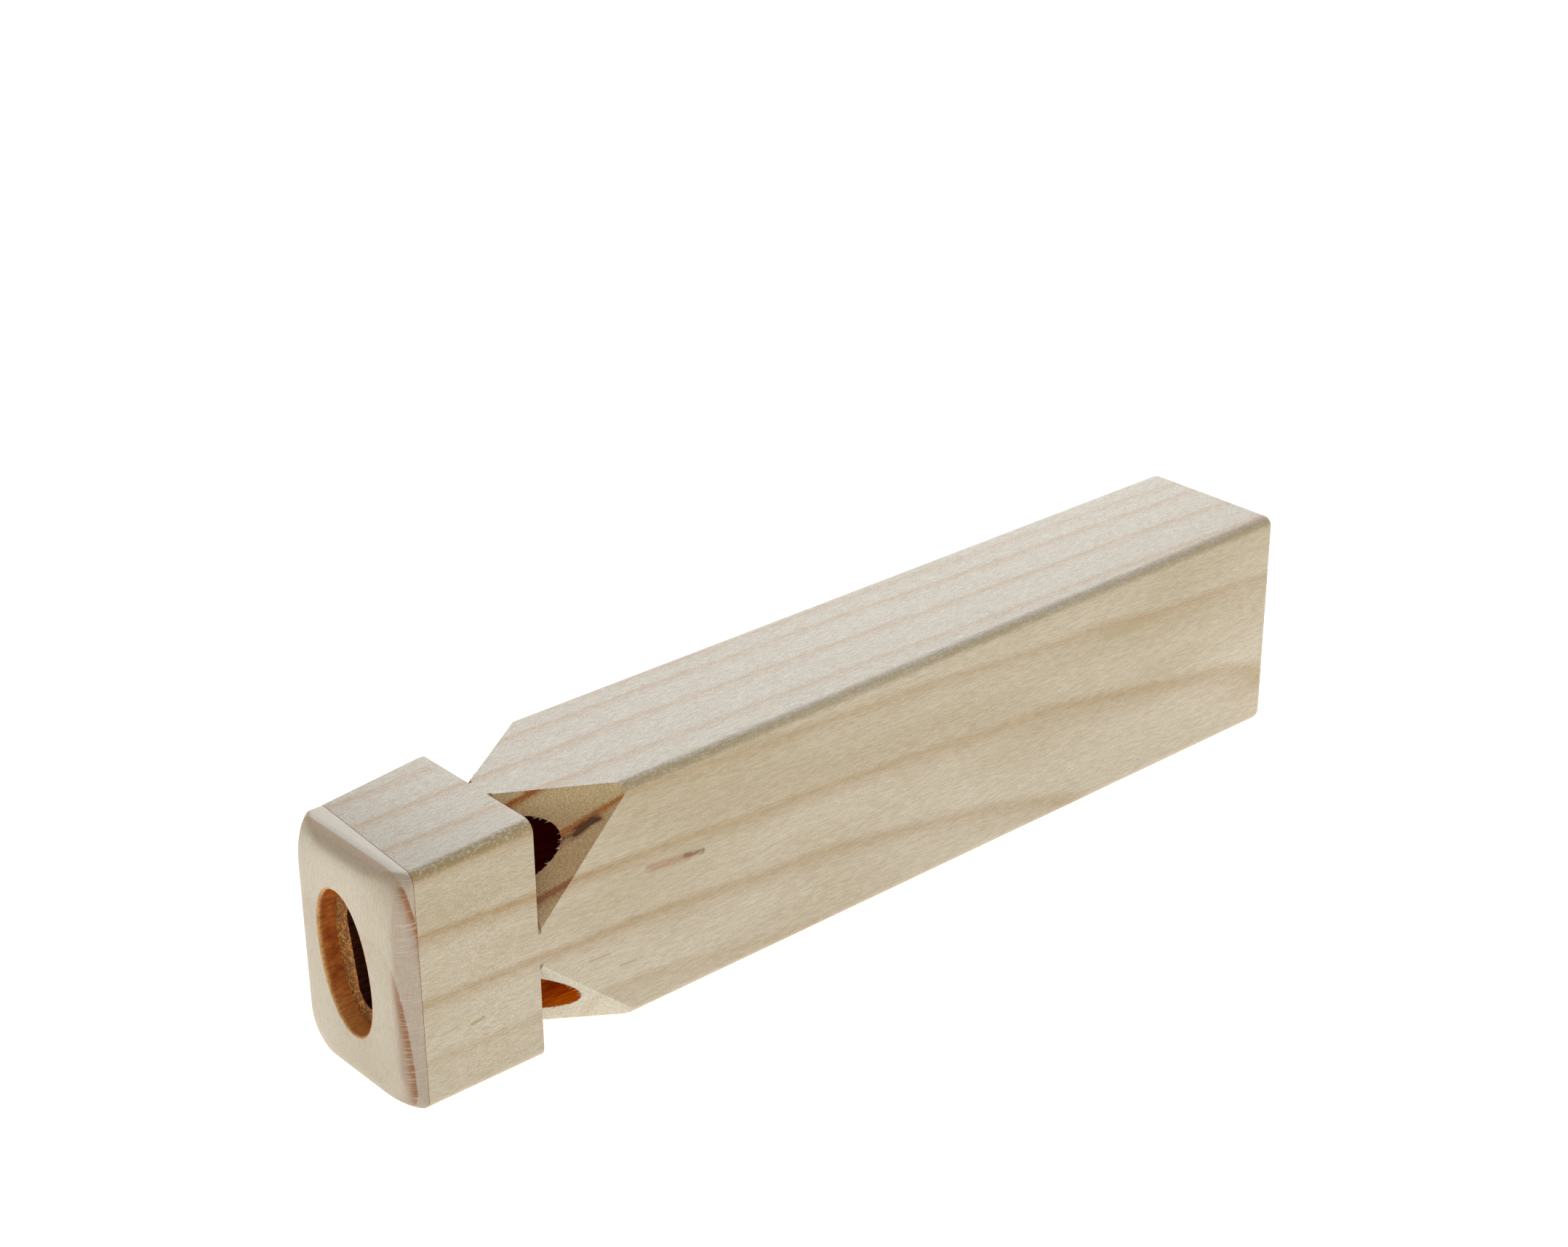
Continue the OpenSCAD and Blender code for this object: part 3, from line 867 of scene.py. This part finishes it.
# %% [markdown]
# ## Saw and drill
#
# The saw, the drill and the cutter of the wind slot are separate shapes that a Boolean takes away. Each
# of their faces carries the finish that the tool leaves, and the Boolean passes it on to the wood. The
# saw ran a little too deep at the cross cuts, so a thin slit marks each one in the neck.

# %% Saws
SAW_FACE = BLOCK_FINISHES.index(SAWN_PINE)
SAW_REACH = 2 * (BLOCK_W + BLOCK_H)
KERF_W = 0.6 * MM
KERF_DEEPER = 0.12 * MM


def cutter(name, bm, finish):
    """A shape to cut with, whose faces carry the finish that it leaves in the wood."""
    for face in bm.faces:
        face.material_index = finish
    return new_piece(name, bm, BLOCK_FINISHES)


def prism(corners, along):
    """A closed prism from the corners of its end, extruded along a vector."""
    bm = bmesh.new()
    end = bm.faces.new([bm.verts.new(corner) for corner in corners])
    grown = bmesh.ops.extrude_face_region(bm, geom=[end])["geom"]
    moved = [item for item in grown if isinstance(item, bmesh.types.BMVert)]
    bmesh.ops.translate(bm, vec=along, verts=moved)
    bmesh.ops.recalc_face_normals(bm, faces=bm.faces)
    return bm


def notch_saw(pipe):
    """The wedge that the saw takes out at a corner."""
    start = pipe.root - pipe.along * SAW_REACH / 2
    up = pipe.outward * 2 * pipe.depth
    far = Vector((2 * NOTCH_LEN, 0, 0))
    bm = prism([start, start + up + far, start + up], pipe.along * SAW_REACH)
    return cutter("saw_" + pipe.name, bm, SAW_FACE)


def kerf_saw(pipe):
    """The thin slit where the cross cut ran a little too deep into the neck."""
    start = pipe.root - pipe.along * SAW_REACH / 2 - pipe.outward * KERF_DEEPER
    up = pipe.outward * (pipe.depth + KERF_DEEPER)
    wide = Vector((KERF_W, 0, 0))
    bm = prism([start, start + wide, start + wide + up, start + up], pipe.along * SAW_REACH)
    return cutter("kerf_" + pipe.name, bm, SAW_FACE)


saws = [(notch_saw(pipe), kerf_saw(pipe)) for pipe in PIPES]
print("saws:", [saw.name for pair in saws for saw in pair])

# %% Drills and the cutter of the wind slot
DRILL_FACE = BLOCK_FINISHES.index(BORED_PINE)
SLOT_FACE = BLOCK_FINISHES.index(WIND_SLOT)
QUARTER_TURN = math.radians(90)
BORE_R = 5.8 * MM
BORE_SIDES = 72
SEAM_SKIN = 0.8 * MM
SLOT_W = 7 * MM
SLOT_H = 18 * MM
SLOT_DEPTH = 9.7 * MM
SLOT_Y = -1 * MM
SLOT_CORNER_R = 3.4 * MM
BLOW_TURN = math.radians(9)
PAST = 2 * MM


def pipe_drill(pipe):
    """The drill that makes a pipe, from a thin skin of end grain at the seam to the blind end."""
    start = X_SEAM + SEAM_SLANT + SEAM_SKIN
    depth = X_NOTCH + pipe.length - start
    middle = Vector((start + depth / 2, pipe.axis.y, pipe.axis.z))
    turned = Matrix.Translation(middle) @ Matrix.Rotation(QUARTER_TURN, 4, "Y")
    bm = bmesh.new()
    bmesh.ops.create_cone(bm, cap_ends=True, segments=BORE_SIDES, radius1=BORE_R, radius2=BORE_R,
                          depth=depth, matrix=turned)
    return cutter("drill_" + pipe.name, bm, DRILL_FACE)


def slot_router():
    """The cutter of the wind slot behind the blow hole, which leans as the hole does."""
    bm = bmesh.new()
    bmesh.ops.create_cube(bm, size=1)
    bmesh.ops.scale(bm, vec=(SLOT_DEPTH + PAST, SLOT_W, SLOT_H), verts=bm.verts)
    bmesh.ops.translate(bm, vec=(X_SEAM + (SLOT_DEPTH - PAST) / 2, SLOT_Y, Z_MID), verts=bm.verts)
    long_edges = [e for e in bm.edges if abs(e.verts[0].co.x - e.verts[1].co.x) > SLOT_DEPTH / 2]
    bevel_edges(bm, long_edges, SLOT_CORNER_R, EDGE_STEPS)
    leaning = Matrix.Rotation(-BLOW_TURN, 3, "X")
    bmesh.ops.rotate(bm, verts=bm.verts, cent=(0, SLOT_Y, Z_MID), matrix=leaning)
    return cutter("router", bm, SLOT_FACE)


cutters = [slot_router()]
for pair, pipe in zip(saws, PIPES):
    cutters += [*pair, pipe_drill(pipe)]
print("cutters:", len(cutters))

# %% Carved block
BLOCK_CRISP = 30


def carve(piece, cutters):
    """Takes every cutter out of a piece and leaves the result as the piece's own mesh."""
    for tool in cutters:
        cut = piece.modifiers.new(tool.name, "BOOLEAN")
        cut.operation = "DIFFERENCE"
        cut.solver = "EXACT"
        cut.material_mode = "INDEX"
        cut.object = tool
    bpy.context.view_layer.update()
    shaped = piece.evaluated_get(bpy.context.evaluated_depsgraph_get())
    carved = bpy.data.meshes.new_from_object(shaped)
    piece.modifiers.clear()
    piece.data = carved
    for tool in cutters:
        bpy.data.objects.remove(tool)


carve(block, cutters)
shade_by_angle(block, BLOCK_CRISP)
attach(block, "root")
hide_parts("body_block")
print("carved block:", len(block.data.polygons), "faces")

# %% [markdown]
# ## Torn fibres
#
# Where the drill and the saw leave the wood they tear its fibres, and the rim of each pipe is ragged
# with pale splinters that point along the grain. They are small cones with a few sides, scattered
# along the rim with a fixed seed. Each one starts inside the wood, so none of them floats.

# %% Torn fibres on the rims
RIM_FIBRES = 110
FIBRE_SIDES = 4
FIBRE_LENGTH = (0.35 * MM, 1.0 * MM)
FIBRE_RADIUS = (0.05 * MM, 0.13 * MM)
FIBRE_TAPER = 6
FIBRE_ROOT = 0.25 * MM
FIBRE_WANDER = 0.35
FIBRE_LEAN = 0.5
scatter = random.Random(7)


def add_fibre(bm, root, direction):
    """One tapered fibre that starts at a point of the wood."""
    length = scatter.uniform(*FIBRE_LENGTH)
    radius = scatter.uniform(*FIBRE_RADIUS)
    turned = direction.to_track_quat("Z", "Y").to_matrix().to_4x4()
    middle = root + direction * (length / 2 - FIBRE_ROOT)
    bmesh.ops.create_cone(bm, cap_ends=True, segments=FIBRE_SIDES, radius1=radius,
                          radius2=radius / FIBRE_TAPER, depth=length,
                          matrix=Matrix.Translation(middle) @ turned)


def rim_fibres():
    """Fibres on the rear rim of every pipe, where the drill opened the plane of the notch."""
    bm = bmesh.new()
    for pipe in PIPES:
        for _ in range(RIM_FIBRES):
            angle = scatter.uniform(0, 2 * math.pi)
            out = Vector((0, math.cos(angle), math.sin(angle)))
            root = pipe.axis + out * BORE_R
            root.x = pipe.plane_x(root)
            if root.x < X_NOTCH + KERF_W:
                continue
            wander_y = scatter.uniform(-FIBRE_WANDER, FIBRE_WANDER)
            wander_z = scatter.uniform(-FIBRE_WANDER, FIBRE_WANDER)
            lean = out * scatter.uniform(0.0, FIBRE_LEAN)
            direction = (Vector((-1, 0, 0)) - lean + Vector((0, wander_y, wander_z))).normalized()
            add_fibre(bm, root, direction)
    return new_piece("torn_fibres", bm, [PINE_BLOCK])


fibres = rim_fibres()
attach(fibres, "root")
print("torn fibres:", len(fibres.data.polygons), "faces")

# %% [markdown]
# ## The mouthpiece
#
# The mouthpiece is a pillow: square at the seam, with a round front edge whose corners grow rounder
# towards the front, and an oval blow hole that leans a little. A cube with a bevel can't do that,
# because a bevel keeps one radius along an edge. So it is a loft: rings of edges stand one behind the
# other, each a rectangle with its corners bevelled, and bridging joins each ring to the next. Oval rings
# go on with the rim and the wall of the hole. A fill with triangles closes the flat back, because it
# leaves the hole open, where a bridge from so unlike a ring could twist across it.

# %% Rings of the outline
CORNER_STEPS = 12
CAP_W = cap_high.y - cap_low.y
CAP_H = cap_high.z - cap_low.z
CAP_Y = (cap_high.y + cap_low.y) / 2
CAP_Z = (cap_high.z + cap_low.z) / 2


def outline_ring(bm, x, inset, corner_r):
    """Edges of the mouthpiece's outline at one place along X, drawn in by an inset."""
    half_w = CAP_W / 2 - inset
    half_h = CAP_H / 2 - inset
    corners = [(-1, -1), (1, -1), (1, 1), (-1, 1)]
    verts = [bm.verts.new((x, CAP_Y + y * half_w, CAP_Z + z * half_h)) for y, z in corners]
    bm.faces.new(verts)
    made = bmesh.ops.bevel(bm, geom=verts, offset=corner_r, offset_type="OFFSET", segments=CORNER_STEPS,
                           profile=0.5, affect="VERTICES", material=-1)
    face = made["verts"][0].link_faces[0]
    edges = face.edges[:]
    bmesh.ops.delete(bm, geom=[face], context="FACES_ONLY")
    return edges


print("mouthpiece outline in mm:", round(CAP_W / MM, 1), "by", round(CAP_H / MM, 1))

# %% Rings of the blow hole
BLOW_W = 13 * MM
BLOW_H = 24.4 * MM
BLOW_FULL = 0.92
RING_POINTS = 4 * (CORNER_STEPS + 1)


def fuller(share):
    """Moves a point of a unit circle outwards, so that the oval is a little fuller than an ellipse."""
    return math.copysign(abs(share) ** BLOW_FULL, share)


def blow_hole_ring(bm, x, grow):
    """Edges of the leaning oval of the blow hole."""
    verts = bmesh.ops.create_circle(bm, segments=RING_POINTS, radius=1)["verts"]
    edges = list({edge for vert in verts for edge in vert.link_edges})
    for vert in verts:
        across, up, _ = vert.co
        vert.co = (0, fuller(across) * (BLOW_W / 2 + grow), fuller(up) * (BLOW_H / 2 + grow))
    bmesh.ops.rotate(bm, verts=verts, cent=(0, 0, 0), matrix=Matrix.Rotation(-BLOW_TURN, 3, "X"))
    bmesh.ops.translate(bm, verts=verts, vec=(x, 0, Z_MID))
    return edges


print("points on each oval:", RING_POINTS)

# %% Lofted mouthpiece
CAP_R = 3.6 * MM
CAP_CORNER_R = 7 * MM
ROUND_STEPS = 12
BLOW_RIM_R = 0.4 * MM
RIM_STEPS = 4
MOUTHPIECE_CRISP = 40
MOUTHPIECE_FINISHES = [PINE_MOUTHPIECE, BLOW_HOLE_WALL]
OUTSIDE_FACE = MOUTHPIECE_FINISHES.index(PINE_MOUTHPIECE)
HOLE_FACE = MOUTHPIECE_FINISHES.index(BLOW_HOLE_WALL)


def lofted_mouthpiece():
    """The pillow with its hole, as one closed shell."""
    bm = bmesh.new()
    rings = [outline_ring(bm, X_SEAM, SEAM_CHAMFER, EDGE_R),
             outline_ring(bm, X_SEAM - SEAM_CHAMFER, 0, EDGE_R)]
    for vert in bm.verts:
        vert.co.x += seam_shift(vert.co.y)
    for step in range(ROUND_STEPS + 1):
        angle = QUARTER_TURN * step / ROUND_STEPS
        corner_r = EDGE_R + (CAP_CORNER_R - EDGE_R) * math.sin(angle)
        x = X_FRONT + CAP_R * (1 - math.sin(angle))
        rings.append(outline_ring(bm, x, CAP_R * (1 - math.cos(angle)), corner_r))
    first_oval = len(rings)
    for step in range(RIM_STEPS + 1):
        angle = QUARTER_TURN * step / RIM_STEPS
        x = X_FRONT + BLOW_RIM_R * (1 - math.cos(angle))
        rings.append(blow_hole_ring(bm, x, BLOW_RIM_R * (1 - math.sin(angle))))
    rings.append(blow_hole_ring(bm, LEDGE_X, 0))
    for number, ring in enumerate(rings[:-1]):
        bridged = bmesh.ops.bridge_loops(bm, edges=ring + rings[number + 1])["faces"]
        for face in bridged:
            face.material_index = HOLE_FACE if number >= first_oval else OUTSIDE_FACE
    back = outline_ring(bm, LEDGE_X, SEAM_RIM, EDGE_R - SEAM_RIM)
    bmesh.ops.bridge_loops(bm, edges=rings[0] + back)
    bmesh.ops.triangle_fill(bm, use_beauty=True, edges=rings[-1] + back)
    bmesh.ops.recalc_face_normals(bm, faces=bm.faces)
    return new_piece("whistle_mouthpiece", bm, MOUTHPIECE_FINISHES)


mouthpiece = lofted_mouthpiece()
shade_by_angle(mouthpiece, MOUTHPIECE_CRISP)
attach(mouthpiece, "root")
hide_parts("mouthpiece_cap")
print("mouthpiece:", len(mouthpiece.data.polygons), "faces")

# %% [markdown]
# ## Floor, light and camera
#
# The whistle stands on a plain white floor in very soft light, so its shadow almost disappears. A white
# world lights it from all round, and the floor glows a little, as a light table does, so that the
# sides are bright down to the ground. One large area light behind and above it makes the top paler than
# the sides. The camera has a long lens and looks down on the mouthpiece and the right side.

# %% Floor
FLOOR_REACH = 6
FLOOR_Z = -0.02 * MM
FLOOR_WHITE = (0.9, 0.9, 0.9, 1)
FLOOR_GLOW = 0.75


def plain_floor():
    """A wide white sheet that glows a little, as a light table does."""
    bm = bmesh.new()
    bmesh.ops.create_grid(bm, x_segments=1, y_segments=1, size=FLOOR_REACH)
    bmesh.ops.translate(bm, vec=(0, 0, FLOOR_Z), verts=bm.verts)
    sheet = bpy.data.materials.new("white_floor")
    sheet.use_nodes = True
    shader = sheet.node_tree.nodes["Principled BSDF"].inputs
    shader["Base Color"].default_value = FLOOR_WHITE
    shader["Roughness"].default_value = 0.9
    shader["Specular IOR Level"].default_value = 0.0
    shader["Emission Color"].default_value = (1, 1, 1, 1)
    shader["Emission Strength"].default_value = FLOOR_GLOW
    return new_piece("floor", bm, [sheet])


floor = plain_floor()
print("floor at z in mm:", FLOOR_Z / MM)

# %% Light
WORLD_STRENGTH = 0.53
BACK_LIGHT_PLACE = Vector((1.2, 1.36, 1.2))
BACK_LIGHT_TARGET = Vector((0, 0, 0.04))
BACK_LIGHT_SIZE = 1.6
BACK_LIGHT_WATTS = 38


def soft_light(name, place, target, size, watts):
    """A square area light that looks at a point."""
    light = bpy.data.lights.new(name, "AREA")
    light.shape = "SQUARE"
    light.size = size
    light.energy = watts
    lamp = bpy.data.objects.new(name, light)
    lamp.location = place
    lamp.rotation_euler = (target - place).to_track_quat("-Z", "Y").to_euler()
    bpy.context.scene.collection.objects.link(lamp)
    return lamp


world = bpy.data.worlds.new("white_room")
world.use_nodes = True
background = world.node_tree.nodes["Background"].inputs
background["Color"].default_value = (1, 1, 1, 1)
background["Strength"].default_value = WORLD_STRENGTH
bpy.context.scene.world = world
back_light = soft_light("back_light", BACK_LIGHT_PLACE, BACK_LIGHT_TARGET, BACK_LIGHT_SIZE,
                        BACK_LIGHT_WATTS)
print("light:", back_light.name, "with", BACK_LIGHT_WATTS, "watts")

# %% Camera
CAMERA_PLACE = Vector((-289.82, -319.61, 251.55)) * MM
CAMERA_PAN = math.radians(-41.19)
CAMERA_TILT = math.radians(64.62)
CAMERA_ROLL = math.radians(-0.48)
LENS_MM = 64.63
SENSOR_MM = 36
NEAREST = 10 * MM
lens = bpy.data.cameras.new("camera")
lens.lens = LENS_MM
lens.sensor_width = SENSOR_MM
lens.sensor_fit = "HORIZONTAL"
lens.clip_start = NEAREST
camera = bpy.data.objects.new("camera", lens)
turn = Matrix.Rotation(CAMERA_PAN, 4, "Z") @ Matrix.Rotation(CAMERA_TILT, 4, "X")
camera.matrix_world = Matrix.Translation(CAMERA_PLACE) @ turn @ Matrix.Rotation(CAMERA_ROLL, 4, "Z")
bpy.context.scene.collection.objects.link(camera)
bpy.context.scene.camera = camera
bpy.context.scene.view_settings.view_transform = "Standard"
print("camera at mm:", [round(value / MM, 1) for value in CAMERA_PLACE])

# %% [markdown]
# The dressed whistle must stay inside the packed model's box.
